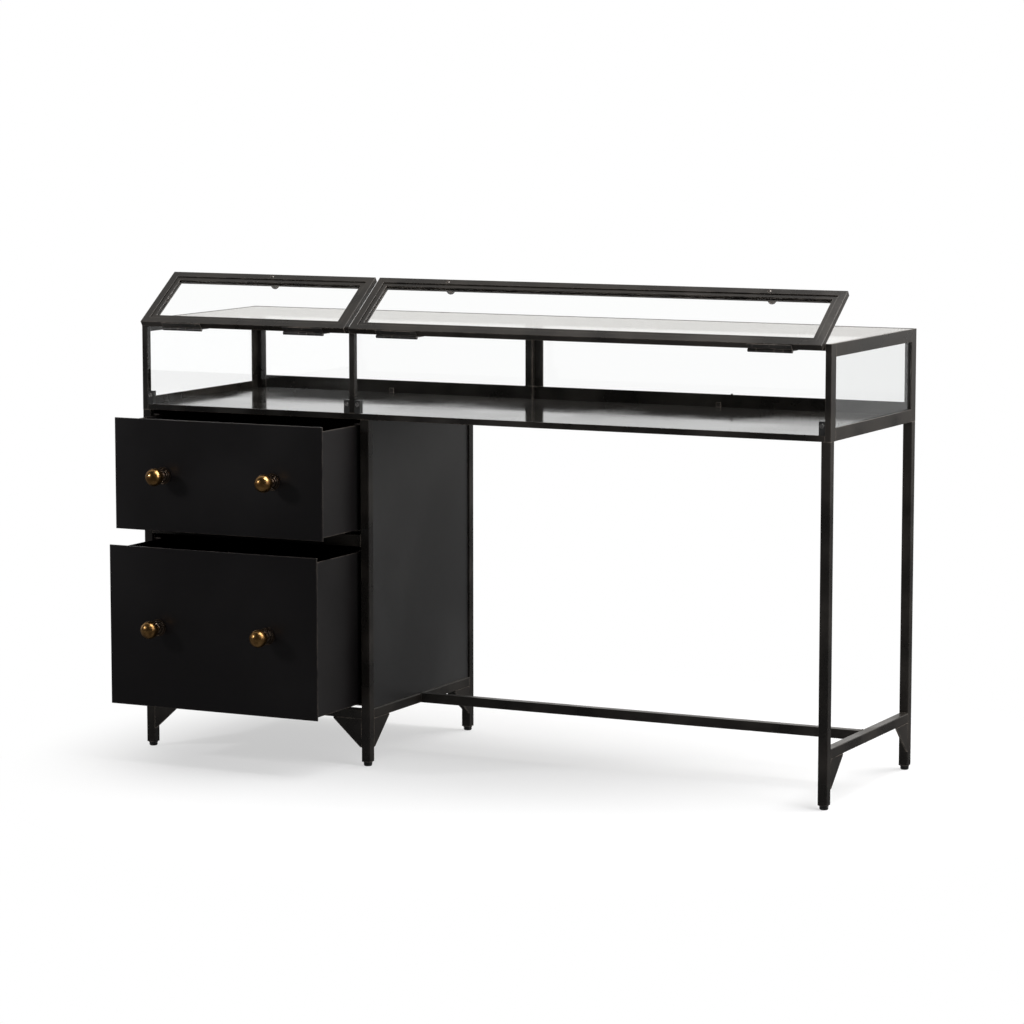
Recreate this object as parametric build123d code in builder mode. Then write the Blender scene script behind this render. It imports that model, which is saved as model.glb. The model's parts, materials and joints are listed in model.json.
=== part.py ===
"""A free-standing metal desk whose glazed top is a shallow display case.

Sizes are in millimetres. X runs along the desk, Y from front to back and Z up. The origin is on the
floor, under the middle of the space that the desk takes with its drawers pulled out and its flaps up.
"""

import os
from math import acos, atan2, cos, degrees, hypot, sin

from build123d import *

os.makedirs("parts", exist_ok=True)

# Overall sizes
overall_width = 1500.0
overall_depth = 460.0
case_top_height = 880.0
deck_frame_height = 697.0  # underside of the deck frame, on top of the legs
cabinet_width = 523.0

# Square tube of the legs, rails and stretchers
tube_size = 19.0
tube_wall = 1.5
tube_corner = 1.5
mid_rail_height = 24.0
lower_rail_height = 96.0  # underside of the bottom rails and stretchers
arris = 0.8  # easing of the long edges of bars and angles

# Glides under the legs
glide_height = 9.0
glide_stem_length = 15.0
glide_stem_clearance = 0.1
glide_chamfer = 2.0

# Corner gussets below the bottom rails
gusset_reach = 64.0
gusset_drop = 58.0
gusset_tip = 3.0
gusset_thickness = 3.0

# Deck frame of angle, and the folded sheet tray that lies in it
angle_wall = 3.0
side_rail_height = 25.0
front_rail_height = 12.0
rear_rail_height = 37.0
deck_ledge_width = 19.0
tray_sheet = 2.0
tray_height = 8.0
tray_clearance = 1.0

# Posts and top frame of the case
post_front_width = 12.0
post_side_width = 25.0
middle_post_size = 12.0
middle_post_inset = 37.0  # from the cabinet's outer face to the middle of the front middle post
rear_post_offset = 143.0  # from the cabinet's outer face to the rear middle post
rear_tee_width = 40.0
rear_tee_stem = 12.0
top_side_rail_height = 25.0
top_front_rail_height = 13.0
top_ledge_width = 12.0
top_ledge_thickness = 3.0
top_glass_thickness = 5.0
top_glass_setback = 0.5  # from the top of the rails down to the glass
pane_thickness = 4.0
pane_clearance = 1.0
clip_width = 10.0
clip_thickness = 3.0
clip_height = 10.0

# Magnetic catches in the lower corners of both openings
catch_width = 12.0
catch_depth = 12.0
catch_height = 26.0
magnet_radius = 4.5
magnet_depth = 3.0
magnet_proud = 0.5

# Flaps
flap_gap = 1.0  # from the case's front plane to the inside of a closed flap
flap_thickness = 12.0
flap_height = 163.5
flap_end_overlap = 1.0  # over the corner posts
flap_meeting_gap = 10.0  # between the two flaps, in front of the middle post
flap_bar_width = 15.0
flap_lip_width = 12.0
flap_lip_thickness = 3.0
flap_glass_thickness = 4.0
flap_glass_clearance = 1.0
flap_bead_width = 9.0
flap_bead_thickness = 3.0
flap_bead_clearance = 0.5

# Butt hinges of the flaps
hinge_length = 90.0
left_hinge_inset = 95.0  # from a flap's end to the middle of the hinge
right_hinge_inset = 105.0
hinge_leaf_thickness = 1.5
hinge_leaf_gap = 1.0
hinge_knuckles = 5
hinge_knuckle_gap = 0.3
barrel_radius = 3.5
barrel_clearance = 0.6
pin_radius = 1.5
pin_clearance = 0.05
pin_stand_off = 3.3  # from the outside of a closed flap to the middle of the pin
flap_rest_gap = 0.4  # left between an open flap and the front edge that it leans on

# Knobs of the flaps
flap_knob_radius = 9.0
flap_knob_reach = 20.0
flap_knob_inset = 156.0  # from the ends of the right flap
flap_knob_edge = 7.5  # from the free edge
flap_knob_foot = 5.0
flap_knob_neck = 4.0
flap_screw_grip = 8.0  # length of screw inside a knob
flap_screw_seat = 2.0  # how deep a screw's head is sunk, so that it clears the deck's front rail

# Sheet panels round the cabinet
panel_sheet = 1.5
panel_recess = 4.0

# Drawers
lower_front_height = 322.0
front_sheet = 3.0
front_end_gap = 5.0
front_level_gap = 3.0
box_sheet = 1.2
box_seam = 0.2  # between the plates of a box, where they are welded
box_inset = 4.0  # from the ends of a front to the sides of its box
box_drop = 9.0  # from the top of a front to the top of its box
box_lift = 6.0  # from the bottom of a front to the bottom of its box
box_rear_gap = 1.0
upper_pull = 145.0  # how far the drawers stand open
lower_pull = 170.0
runner_width = 20.0
runner_sheet = 2.0
runner_clearance = 0.5
runner_setback = 6.0
kicker_width = 16.0
kicker_height = 8.0
kicker_clearance = 1.0

# Knobs of the drawers
knob_spacing = 250.0
knob_radius = 18.0
knob_length = 48.0
knob_foot_radius = 9.5
knob_neck_radius = 6.5
rosette_radius = 17.5
rosette_thickness = 4.0
screw_radius = 2.0
screw_clearance = 0.15
screw_head_radius = 3.6
screw_head_height = 2.4
screw_grip = 12.0  # length of screw inside a knob

# Places worked out from the sizes above
knob_reach = rosette_thickness + knob_length
y_rear = (overall_depth + max(upper_pull, lower_pull) + knob_reach) / 2
y_front = y_rear - overall_depth
x_left = -overall_width / 2
x_right = overall_width / 2
x_cabinet = x_left + cabinet_width
half_tube = tube_size / 2
tube_bore = tube_size - 2 * tube_wall
lower_rail_top = lower_rail_height + tube_size
deck_side_top = deck_frame_height + side_rail_height
deck_front_top = deck_frame_height + front_rail_height
deck_rear_top = deck_frame_height + rear_rail_height
tray_top = deck_frame_height + angle_wall + tray_height
top_glass_underside = case_top_height - top_glass_setback - top_glass_thickness
opening_top = case_top_height - top_front_rail_height
x_middle_post = x_cabinet - middle_post_inset
x_rear_tee = x_cabinet + rear_post_offset

RUN_PLANE = {"X": Plane.YZ, "Y": Plane.XZ, "Z": Plane.XY}
RUN_DIRECTION = {"X": (1, 0, 0), "Y": (0, 1, 0), "Z": (0, 0, 1)}
RUN_AXIS = {"X": Axis.X, "Y": Axis.Y, "Z": Axis.Z}


def save(piece, node):
    """Name a finished piece and write it."""
    piece.part.label = node
    export_step(piece.part, f"parts/{node}.step")


def middle(limits):
    """Half way between two limits."""
    return (limits[0] + limits[1]) / 2


def span(limits):
    """The distance between two limits."""
    return limits[1] - limits[0]


def across(axis, place):
    """The plane that cuts a run along an axis at a given place."""
    turned = -1 if axis == "Y" else 1
    return RUN_PLANE[axis].offset(turned * place)


def slab(x, y, z):
    """A flat sheet or block between its limits along X, Y and Z."""
    with BuildPart() as block:
        with BuildSketch(Plane.XY.offset(z[0])):
            with Locations((middle(x), middle(y))):
                Rectangle(span(x), span(y))
        extrude(amount=span(z))
    return block


def round_pins(points, limits, radius):
    """Round pins from front to back, one at each X and Z, for screws and for the holes they need."""
    with BuildPart() as pins:
        with BuildSketch(across("Y", limits[0])):
            with Locations(*points):
                Circle(radius)
        extrude(amount=span(limits), dir=(0, 1, 0))
    return pins


def square_tube(axis, limits, centre, height=tube_size):
    """A square or upright oblong tube with rounded edges, along one axis."""
    with BuildPart() as tube:
        with BuildSketch(across(axis, limits[0])):
            with Locations(centre):
                RectangleRounded(tube_size, height, tube_corner)
                Rectangle(tube_bore, height - 2 * tube_wall, mode=Mode.SUBTRACT)
        extrude(amount=span(limits), dir=RUN_DIRECTION[axis])
    return tube


def profile_bar(axis, limits, outline):
    """A bar with the given outline and eased long edges, along one axis."""
    with BuildPart() as bar:
        with BuildSketch(across(axis, limits[0])):
            with BuildLine():
                Polyline(*outline, close=True)
            make_face()
        extrude(amount=span(limits), dir=RUN_DIRECTION[axis])
        fillet(bar.edges().filter_by(RUN_AXIS[axis]), radius=arris)
    return bar


def angle_outline(corner, first, second, wall=angle_wall):
    """The six points of an angle section, from its outer corner and its two signed flanges."""
    a, b = corner
    wall_a = wall if first > 0 else -wall
    wall_b = wall if second > 0 else -wall
    return [
        (a, b),
        (a + first, b),
        (a + first, b + wall_b),
        (a + wall_a, b + wall_b),
        (a + wall_a, b + second),
        (a, b + second),
    ]


# Legs: square tubes, closed at the top, that stand on glides
leg_places = {
    "leg_front_left": (x_left + half_tube, y_front + half_tube),
    "leg_rear_left": (x_left + half_tube, y_rear - half_tube),
    "leg_cabinet_front": (x_cabinet - half_tube, y_front + half_tube),
    "leg_cabinet_rear": (x_cabinet - half_tube, y_rear - half_tube),
    "leg_front_right": (x_right - half_tube, y_front + half_tube),
    "leg_rear_right": (x_right - half_tube, y_rear - half_tube),
}
for node, place in leg_places.items():
    with BuildPart() as leg:
        with BuildSketch(Plane.XY.offset(glide_height)):
            with Locations(place):
                RectangleRounded(tube_size, tube_size, tube_corner)
        extrude(amount=deck_frame_height - glide_height)
        with BuildSketch(Plane.XY.offset(glide_height)):
            with Locations(place):
                Rectangle(tube_bore, tube_bore)
        extrude(amount=deck_frame_height - glide_height - tube_wall, mode=Mode.SUBTRACT)
    save(leg, node)

# Leg glides: round feet with a stem pushed up into each tube
with BuildPart() as leg_glides:
    with BuildSketch(Plane.XY):
        with Locations(*leg_places.values()):
            Circle(half_tube)
    extrude(amount=glide_height)
    chamfer(leg_glides.edges().group_by(Axis.Z)[0], length=glide_chamfer)
    with BuildSketch(Plane.XY.offset(glide_height)):
        with Locations(*leg_places.values()):
            Circle(tube_bore / 2 - glide_stem_clearance)
    extrude(amount=glide_stem_length)
save(leg_glides, "leg_glides")


def gusset(axis, low, leg_face, outward):
    """A corner plate under a bottom rail, square to an axis, from a leg's face outward."""
    reach = outward * gusset_reach
    tip = outward * gusset_tip
    top = lower_rail_height
    with BuildPart() as plate:
        with BuildSketch(across(axis, low)):
            with BuildLine():
                Polyline(
                    (leg_face, top),
                    (leg_face + reach, top),
                    (leg_face + reach, top - gusset_tip),
                    (leg_face + tip, top - gusset_drop),
                    (leg_face, top - gusset_drop),
                    close=True,
                )
            make_face()
        extrude(amount=gusset_thickness, dir=RUN_DIRECTION[axis])
    return plate


# Gussets: welded flush with the outer faces of the legs
front_leg_back = y_front + tube_size
rear_leg_front = y_rear - tube_size
cabinet_inner = (x_left + tube_size, x_cabinet - tube_size)
with BuildPart() as leg_gussets:
    for low in (y_front, y_rear - gusset_thickness):
        add(gusset("Y", low, cabinet_inner[0], 1).part)
        add(gusset("Y", low, cabinet_inner[1], -1).part)
    for low in (x_left, x_cabinet - gusset_thickness, x_right - gusset_thickness):
        add(gusset("X", low, front_leg_back, 1).part)
        add(gusset("X", low, rear_leg_front, -1).part)
save(leg_gussets, "leg_gussets")

# Bottom rails of the cabinet, and the rail between its two drawers
lower_rail_middle = lower_rail_height + half_tube
between_legs = (front_leg_back, rear_leg_front)
for node, y in (
    ("cabinet_front_bottom_rail", y_front + half_tube),
    ("cabinet_rear_bottom_rail", y_rear - half_tube),
):
    save(square_tube("X", cabinet_inner, (y, lower_rail_middle)), node)
with BuildPart() as cabinet_side_bottom_rails:
    for x in (x_left + half_tube, x_cabinet - half_tube):
        add(square_tube("Y", between_legs, (x, lower_rail_middle)).part)
save(cabinet_side_bottom_rails, "cabinet_side_bottom_rails")

lower_front = (lower_rail_top + front_level_gap, lower_rail_top + front_level_gap + lower_front_height)
mid_rail_low = lower_front[1] + front_level_gap
mid_rail_top = mid_rail_low + mid_rail_height
upper_front = (mid_rail_top + front_level_gap, deck_frame_height - front_level_gap)
mid_rail_centre = (y_front + half_tube, mid_rail_low + mid_rail_height / 2)
save(square_tube("X", cabinet_inner, mid_rail_centre, mid_rail_height), "cabinet_mid_rail")

# Stretchers: one between the right legs, and one from the cabinet to it
save(square_tube("Y", between_legs, (x_right - half_tube, lower_rail_middle)), "end_stretcher")
long_stretcher_limits = (x_cabinet, x_right - tube_size)
long_stretcher_centre = (y_front + overall_depth / 2, lower_rail_middle)
save(square_tube("X", long_stretcher_limits, long_stretcher_centre), "long_stretcher")

# Cabinet panels: flat sheets set back in the tube frame
panel_rise = (lower_rail_top, deck_frame_height)
left_panel_face = x_left + panel_recess
right_panel_face = x_cabinet - panel_recess
back_panel_face = y_rear - panel_recess
panel_back = (back_panel_face - panel_sheet, back_panel_face)
save(slab((left_panel_face, left_panel_face + panel_sheet), between_legs, panel_rise), "cabinet_left_panel")
right_panel_x = (right_panel_face - panel_sheet, right_panel_face)
save(slab(right_panel_x, between_legs, panel_rise), "cabinet_right_panel")
save(slab(cabinet_inner, panel_back, panel_rise), "cabinet_back_panel")

# Runners under the drawer boxes and kickers above them, welded to the inner faces of the legs
runner_run = (y_front + runner_setback, panel_back[0])
with BuildPart() as drawer_runners:
    for front in (lower_front, upper_front):
        underside = front[0] + box_lift - runner_clearance - runner_sheet
        for corner_x, inward in ((cabinet_inner[0], 1), (cabinet_inner[1], -1)):
            outline = angle_outline(
                (corner_x, underside), inward * runner_width, runner_width, runner_sheet
            )
            add(profile_bar("Y", runner_run, outline).part)
save(drawer_runners, "drawer_runners")

with BuildPart() as drawer_kickers:
    for front in (lower_front, upper_front):
        underside = front[1] - box_drop + kicker_clearance
        for corner_x, inward in ((cabinet_inner[0], 1), (cabinet_inner[1], -1)):
            outline = angle_outline(
                (corner_x, underside), inward * kicker_width, kicker_height, runner_sheet
            )
            add(profile_bar("Y", runner_run, outline).part)
save(drawer_kickers, "drawer_kickers")

# Deck frame: angles between the case's posts, with their lower flanges turned inwards
front_post_inner = (x_left + post_front_width, x_right - post_front_width)
rear_post_inner = (x_left + post_side_width, x_right - post_side_width)
between_posts = (y_front + post_side_width, y_rear - post_side_width)
deck_front = angle_outline((y_front, deck_frame_height), deck_ledge_width, front_rail_height)
save(profile_bar("X", front_post_inner, deck_front), "deck_front_rail")
deck_rear = angle_outline((y_rear, deck_frame_height), -deck_ledge_width, rear_rail_height)
save(profile_bar("X", rear_post_inner, deck_rear), "deck_rear_rail")
with BuildPart() as deck_side_rails:
    for outer, inward in ((x_left, 1), (x_right, -1)):
        outline = angle_outline((outer, deck_frame_height), inward * deck_ledge_width, side_rail_height)
        add(profile_bar("Y", between_posts, outline).part)
save(deck_side_rails, "deck_side_rails")

# Deck tray: one folded sheet with turned-down edges, the floor of the display case
tray_set_in = angle_wall + tray_clearance
tray_x = (x_left + tray_set_in, x_right - tray_set_in)
tray_y = (y_front + tray_set_in, y_rear - tray_set_in)
with BuildPart() as deck_tray:
    add(slab(tray_x, tray_y, (tray_top - tray_height, tray_top)).part)
    fillet(deck_tray.edges().group_by(Axis.Z)[-1], radius=arris)
    with BuildSketch(Plane.XY.offset(tray_top - tray_height)):
        with Locations((0, middle(tray_y))):
            Rectangle(span(tray_x) - 2 * tray_sheet, span(tray_y) - 2 * tray_sheet)
    extrude(amount=tray_height - tray_sheet, mode=Mode.SUBTRACT)
save(deck_tray, "deck_tray")

# Corner posts of the case: unequal angles in front and equal angles behind
case_rise = (deck_frame_height, case_top_height)
with BuildPart() as case_front_corner_posts:
    for outer, inward in ((x_left, 1), (x_right, -1)):
        outline = angle_outline((outer, y_front), inward * post_front_width, post_side_width)
        add(profile_bar("Z", case_rise, outline).part)
save(case_front_corner_posts, "case_front_corner_posts")

with BuildPart() as case_rear_corner_posts:
    for outer, inward in ((x_left, 1), (x_right, -1)):
        outline = angle_outline((outer, y_rear), inward * post_side_width, -post_side_width)
        add(profile_bar("Z", case_rise, outline).part)
save(case_rear_corner_posts, "case_rear_corner_posts")

# Front middle post: a square bar between the two openings
middle_post_x = (x_middle_post - middle_post_size / 2, x_middle_post + middle_post_size / 2)
middle_post_y = (y_front, y_front + middle_post_size)
middle_post_outline = [
    (middle_post_x[0], middle_post_y[0]),
    (middle_post_x[1], middle_post_y[0]),
    (middle_post_x[1], middle_post_y[1]),
    (middle_post_x[0], middle_post_y[1]),
]
save(profile_bar("Z", (deck_front_top, opening_top), middle_post_outline), "case_front_middle_post")

# Rear middle post: a tee whose stem stands between the two rear panes
pane_rise = (tray_top, top_glass_underside - top_ledge_thickness - pane_clearance)
rear_flange_front = y_rear - angle_wall
with BuildPart() as case_rear_middle_post:
    add(
        slab(
            (x_rear_tee - rear_tee_width / 2, x_rear_tee + rear_tee_width / 2),
            (rear_flange_front, y_rear),
            (deck_rear_top, case_top_height - top_side_rail_height),
        ).part
    )
    add(
        slab(
            (x_rear_tee - angle_wall / 2, x_rear_tee + angle_wall / 2),
            (rear_flange_front - rear_tee_stem, rear_flange_front),
            pane_rise,
        ).part
    )
save(case_rear_middle_post, "case_rear_middle_post")


def top_rail_outline(outer, inward, height):
    """An upright flange with a ledge inside it for the top glass."""
    top = case_top_height
    low = top - height
    ledge_top = top_glass_underside
    ledge_low = max(ledge_top - top_ledge_thickness, low)
    wall = outer + inward * angle_wall
    edge = outer + inward * (angle_wall + top_ledge_width)
    return [
        (outer, low),
        (wall, low),
        (wall, ledge_low),
        (edge, ledge_low),
        (edge, ledge_top),
        (wall, ledge_top),
        (wall, top),
        (outer, top),
    ]


# Top rails of the case: the front one is a shallow bar, rebated for the glass
front_bar_back = y_front + angle_wall + top_ledge_width
top_front_outline = [
    (y_front, opening_top),
    (front_bar_back, opening_top),
    (front_bar_back, top_glass_underside),
    (y_front + angle_wall, top_glass_underside),
    (y_front + angle_wall, case_top_height),
    (y_front, case_top_height),
]
save(profile_bar("X", front_post_inner, top_front_outline), "case_top_front_rail")
top_rear_outline = top_rail_outline(y_rear, -1, top_side_rail_height)
save(profile_bar("X", rear_post_inner, top_rear_outline), "case_top_rear_rail")
with BuildPart() as case_top_side_rails:
    for outer, inward in ((x_left, 1), (x_right, -1)):
        outline = top_rail_outline(outer, inward, top_side_rail_height)
        add(profile_bar("Y", between_posts, outline).part)
save(case_top_side_rails, "case_top_side_rails")

# Glass of the case: the top, the two ends and the two rear panes
glass_set_in = angle_wall + pane_clearance
top_glass_x = (x_left + glass_set_in, x_right - glass_set_in)
top_glass_y = (y_front + glass_set_in, y_rear - glass_set_in)
top_glass_z = (top_glass_underside, top_glass_underside + top_glass_thickness)
save(slab(top_glass_x, top_glass_y, top_glass_z), "top_glass")

rear_pane_y = (rear_flange_front - pane_thickness, rear_flange_front)
end_pane_y = (y_front + glass_set_in, rear_pane_y[0] - pane_clearance)
left_pane_x = (x_left + angle_wall, x_left + angle_wall + pane_thickness)
right_pane_x = (x_right - angle_wall - pane_thickness, x_right - angle_wall)
with BuildPart() as end_glass:
    for x_limits in (left_pane_x, right_pane_x):
        add(slab(x_limits, end_pane_y, pane_rise).part)
save(end_glass, "end_glass")

tee_side = angle_wall / 2 + pane_clearance
rear_left_x = (x_left + glass_set_in, x_rear_tee - tee_side)
rear_right_x = (x_rear_tee + tee_side, x_right - glass_set_in)
with BuildPart() as rear_glass:
    for x_limits in (rear_left_x, rear_right_x):
        add(slab(x_limits, rear_pane_y, pane_rise).part)
save(rear_glass, "rear_glass")

# Glazing clips: a low tab on the tray at the middle of each rear pane, which keeps its foot in place
rear_clip_y = (rear_pane_y[0] - clip_thickness, rear_pane_y[0])
with BuildPart() as glazing_clips:
    for pane_x in (rear_left_x, rear_right_x):
        clip_x = (middle(pane_x) - clip_width / 2, middle(pane_x) + clip_width / 2)
        add(slab(clip_x, rear_clip_y, (tray_top, tray_top + clip_height)).part)
save(glazing_clips, "glazing_clips")

# Catches: a block in each lower corner of the openings, with a round magnet let into its face
catch_places = [
    front_post_inner[0] + catch_width / 2,
    middle_post_x[0] - catch_width / 2,
    middle_post_x[1] + catch_width / 2,
    front_post_inner[1] - catch_width / 2,
]
catch_z = (deck_front_top, deck_front_top + catch_height)
magnet_z = middle(catch_z) + catch_height / 6
magnet_points = [(x, magnet_z) for x in catch_places]
with BuildPart() as catch_blocks:
    for x in catch_places:
        x_limits = (x - catch_width / 2, x + catch_width / 2)
        add(slab(x_limits, (y_front, y_front + catch_depth), catch_z).part)
    magnet_sockets = round_pins(magnet_points, (y_front, y_front + magnet_depth), magnet_radius)
    add(magnet_sockets.part, mode=Mode.SUBTRACT)
save(catch_blocks, "catch_blocks")

with BuildPart() as catch_magnets:
    magnet_y = (y_front - magnet_proud, y_front + magnet_depth)
    add(round_pins(magnet_points, magnet_y, magnet_radius).part)
    chamfer(catch_magnets.edges().group_by(Axis.Y)[0], length=magnet_proud / 2)
save(catch_magnets, "catch_magnets")

# Hinge line of the flaps: in front of a closed flap, between the leaves under the top rail
pin_y = y_front - flap_gap - flap_thickness - pin_stand_off
pin_z = opening_top - hinge_leaf_thickness - hinge_leaf_gap / 2
pin_depth = pin_stand_off + flap_thickness  # from the pin to the inside of a flap
# An open flap leans back until its outside meets the front edge of the case's top.
edge_reach = hypot(y_front - pin_y, case_top_height - pin_z)
edge_bearing = atan2(case_top_height - pin_z, y_front - pin_y)
flap_lean = acos((flap_rest_gap - pin_stand_off) / edge_reach) - edge_bearing
flap_plane = Plane(
    origin=(0, pin_y, pin_z),
    x_dir=(1, 0, 0),
    z_dir=(0, -cos(flap_lean), sin(flap_lean)),
)
flap_hinge_edge = hinge_leaf_gap / 2 + hinge_leaf_thickness
flap_run = (flap_hinge_edge, flap_hinge_edge + flap_height)
left_flap_x = (front_post_inner[0] - flap_end_overlap, x_middle_post - flap_meeting_gap / 2)
right_flap_x = (x_middle_post + flap_meeting_gap / 2, front_post_inner[1] + flap_end_overlap)


def ring(x, y, band, low, high):
    """A flat rectangular ring on the flap's own plane, between two depths."""
    with BuildPart() as hoop:
        with BuildSketch(flap_plane.offset(low)):
            with Locations((middle(x), middle(y))):
                Rectangle(span(x), span(y))
                Rectangle(span(x) - 2 * band, span(y) - 2 * band, mode=Mode.SUBTRACT)
        extrude(amount=high - low)
    return hoop


def flap_pieces(prefix, x, knob_places, hinge_places):
    """Frame, glass, bead, knobs, screws and moving hinge leaves of one flap."""
    outside = pin_stand_off
    inside = pin_depth
    lip_face = outside + flap_lip_thickness
    pocket_x = (x[0] + flap_bar_width, x[1] - flap_bar_width)
    pocket_y = (flap_run[0] + flap_bar_width, flap_run[1] - flap_bar_width)
    knob_y = flap_run[1] - flap_knob_edge
    facing = Axis((0, 0, 0), flap_plane.z_dir)

    with BuildPart() as flap_frame:
        add(ring(x, flap_run, flap_bar_width, outside, inside).part)
        add(ring(pocket_x, pocket_y, flap_lip_width, outside, lip_face).part)
        fillet(flap_frame.faces().sort_by(facing)[-1].edges(), radius=arris)
        fillet(flap_frame.faces().sort_by(facing)[0].edges(), radius=arris)
        with BuildSketch(flap_plane.offset(outside)):
            with Locations(*[(place, knob_y) for place in knob_places]):
                Circle(screw_radius + screw_clearance)
        extrude(amount=flap_thickness, mode=Mode.SUBTRACT)
        with BuildSketch(flap_plane.offset(inside - flap_screw_seat)):
            with Locations(*[(place, knob_y) for place in knob_places]):
                Circle(screw_head_radius + screw_clearance)
        extrude(amount=flap_screw_seat, mode=Mode.SUBTRACT)
    save(flap_frame, f"{prefix}_flap_frame")

    with BuildPart() as glass:
        with BuildSketch(flap_plane.offset(lip_face)):
            with Locations((middle(x), middle(flap_run))):
                Rectangle(
                    span(pocket_x) - 2 * flap_glass_clearance,
                    span(pocket_y) - 2 * flap_glass_clearance,
                )
        extrude(amount=flap_glass_thickness)
    save(glass, f"{prefix}_flap_glass")

    bead_low = lip_face + flap_glass_thickness
    bead_x = (pocket_x[0] + flap_bead_clearance, pocket_x[1] - flap_bead_clearance)
    bead_y = (pocket_y[0] + flap_bead_clearance, pocket_y[1] - flap_bead_clearance)
    with BuildPart() as bead:
        add(ring(bead_x, bead_y, flap_bead_width, bead_low, bead_low + flap_bead_thickness).part)
        fillet(bead.faces().sort_by(facing)[-1].edges(), radius=arris)
    save(bead, f"{prefix}_flap_bead")

    with BuildPart() as knobs:
        for place in knob_places:
            foot = flap_plane.from_local_coords((place, knob_y, outside))
            add(turned_knob(foot, -flap_plane.z_dir, flap_knob_outline).part)
    save(knobs, f"{prefix}_flap_knobs")

    with BuildPart() as screws:
        with BuildSketch(flap_plane.offset(outside - flap_screw_grip)):
            with Locations(*[(place, knob_y) for place in knob_places]):
                Circle(screw_radius)
        extrude(amount=flap_thickness + flap_screw_grip - flap_screw_seat)
        with BuildSketch(flap_plane.offset(inside - flap_screw_seat)):
            with Locations(*[(place, knob_y) for place in knob_places]):
                Circle(screw_head_radius)
        extrude(amount=screw_head_height)
    save(screws, f"{prefix}_flap_knob_screws")

    with BuildPart() as leaves:
        for place in hinge_places:
            reach = pin_depth - hinge_leaf_gap
            add(hinge_leaf(place, flap_plane.z_dir, -1, first_knuckle=1, reach=reach).part)
    save(leaves, f"{prefix}_flap_hinge_leaves")


def turned_knob(foot, direction, outline):
    """A solid of revolution from its outline, given as radius and height above its foot."""
    sideways = Vector(1, 0, 0)
    plane = Plane(origin=foot, x_dir=sideways, z_dir=sideways.cross(direction))
    with BuildPart() as knob:
        with BuildSketch(plane):
            with BuildLine():
                outline()
            make_face()
        revolve(axis=Axis(foot, direction))
    return knob


def ball_knob_outline(length, ball_radius, foot_radius, neck_radius, bore_depth):
    """Half the outline of a ball on a waisted neck with a foot, and a blind bore for its screw."""
    bore = screw_radius + screw_clearance
    ball_centre = length - ball_radius
    foot_height = foot_radius / 4
    ball_meets_neck = ball_centre - (ball_radius**2 - neck_radius**2) ** 0.5
    neck_waist = (neck_radius * 0.85, (foot_height + ball_meets_neck) / 2)
    Polyline(
        (0, length),
        (0, bore_depth),
        (bore, bore_depth),
        (bore, 0),
        (foot_radius, 0),
        (foot_radius, foot_height),
        (neck_radius, foot_height),
    )
    ThreePointArc((neck_radius, foot_height), neck_waist, (neck_radius, ball_meets_neck))
    ThreePointArc((neck_radius, ball_meets_neck), (ball_radius, ball_centre), (0, length))


def flap_knob_outline():
    """The small knob of a flap."""
    ball_knob_outline(flap_knob_reach, flap_knob_radius, flap_knob_foot, flap_knob_neck, flap_screw_grip)


def hinge_leaf(centre, reach_direction, side, first_knuckle, reach):
    """One leaf of a butt hinge: a plate from the pin, with every second knuckle of the barrel."""
    pitch = hinge_length / hinge_knuckles
    start = centre - hinge_length / 2
    neck = barrel_radius + barrel_clearance
    offset_low = hinge_leaf_gap / 2
    offset_high = offset_low + hinge_leaf_thickness
    plate_middle = side * (offset_low + offset_high) / 2

    def section(x):
        return Plane(origin=(x, pin_y, pin_z), x_dir=reach_direction, z_dir=(1, 0, 0))

    with BuildPart() as leaf:
        with BuildSketch(section(start)):
            with Locations(((neck + reach) / 2, plate_middle)):
                Rectangle(reach - neck, hinge_leaf_thickness)
        extrude(amount=hinge_length)
        for number in range(first_knuckle, hinge_knuckles, 2):
            low = start + number * pitch + hinge_knuckle_gap / 2
            with BuildSketch(section(low)):
                Circle(barrel_radius)
                with Locations((neck / 2, plate_middle)):
                    Rectangle(neck, hinge_leaf_thickness)
            extrude(amount=pitch - hinge_knuckle_gap)
        with BuildSketch(section(start)):
            Circle(pin_radius + pin_clearance)
        extrude(amount=hinge_length, mode=Mode.SUBTRACT)
    return leaf


# Flaps, each a mitred and rebated frame with its glass, standing open against the case's front edge
left_hinges = [left_flap_x[0] + left_hinge_inset, left_flap_x[1] - left_hinge_inset]
right_hinges = [right_flap_x[0] + right_hinge_inset, right_flap_x[1] - right_hinge_inset]
flap_pieces("left", left_flap_x, [middle(left_flap_x)], left_hinges)
right_knobs = [right_flap_x[0] + flap_knob_inset, right_flap_x[1] - flap_knob_inset]
flap_pieces("right", right_flap_x, right_knobs, right_hinges)

# Fixed hinge leaves, welded under the front top rail, and the pins of all the hinges
with BuildPart() as hinge_fixed_leaves:
    for place in left_hinges + right_hinges:
        add(hinge_leaf(place, (0, 1, 0), 1, first_knuckle=0, reach=front_bar_back - pin_y - angle_wall).part)
save(hinge_fixed_leaves, "hinge_fixed_leaves")

with BuildPart() as hinge_pins:
    for place in left_hinges + right_hinges:
        with BuildSketch(across("X", place - hinge_length / 2)):
            with Locations((pin_y, pin_z)):
                Circle(pin_radius)
        extrude(amount=hinge_length)
save(hinge_pins, "hinge_pins")

# Drawers: a plate front with two knobs, on a box of thinner sheet
knob_middle = middle(cabinet_inner)
knob_xs = [knob_middle - knob_spacing / 2, knob_middle + knob_spacing / 2]
front_x = (cabinet_inner[0] + front_end_gap, cabinet_inner[1] - front_end_gap)
box_x = (front_x[0] + box_inset, front_x[1] - box_inset)
box_length = panel_back[0] - box_rear_gap - (y_front + front_sheet)


def drawer_knob_outline():
    """The large knob of a drawer."""
    ball_knob_outline(knob_length, knob_radius, knob_foot_radius, knob_neck_radius, screw_grip)


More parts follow.
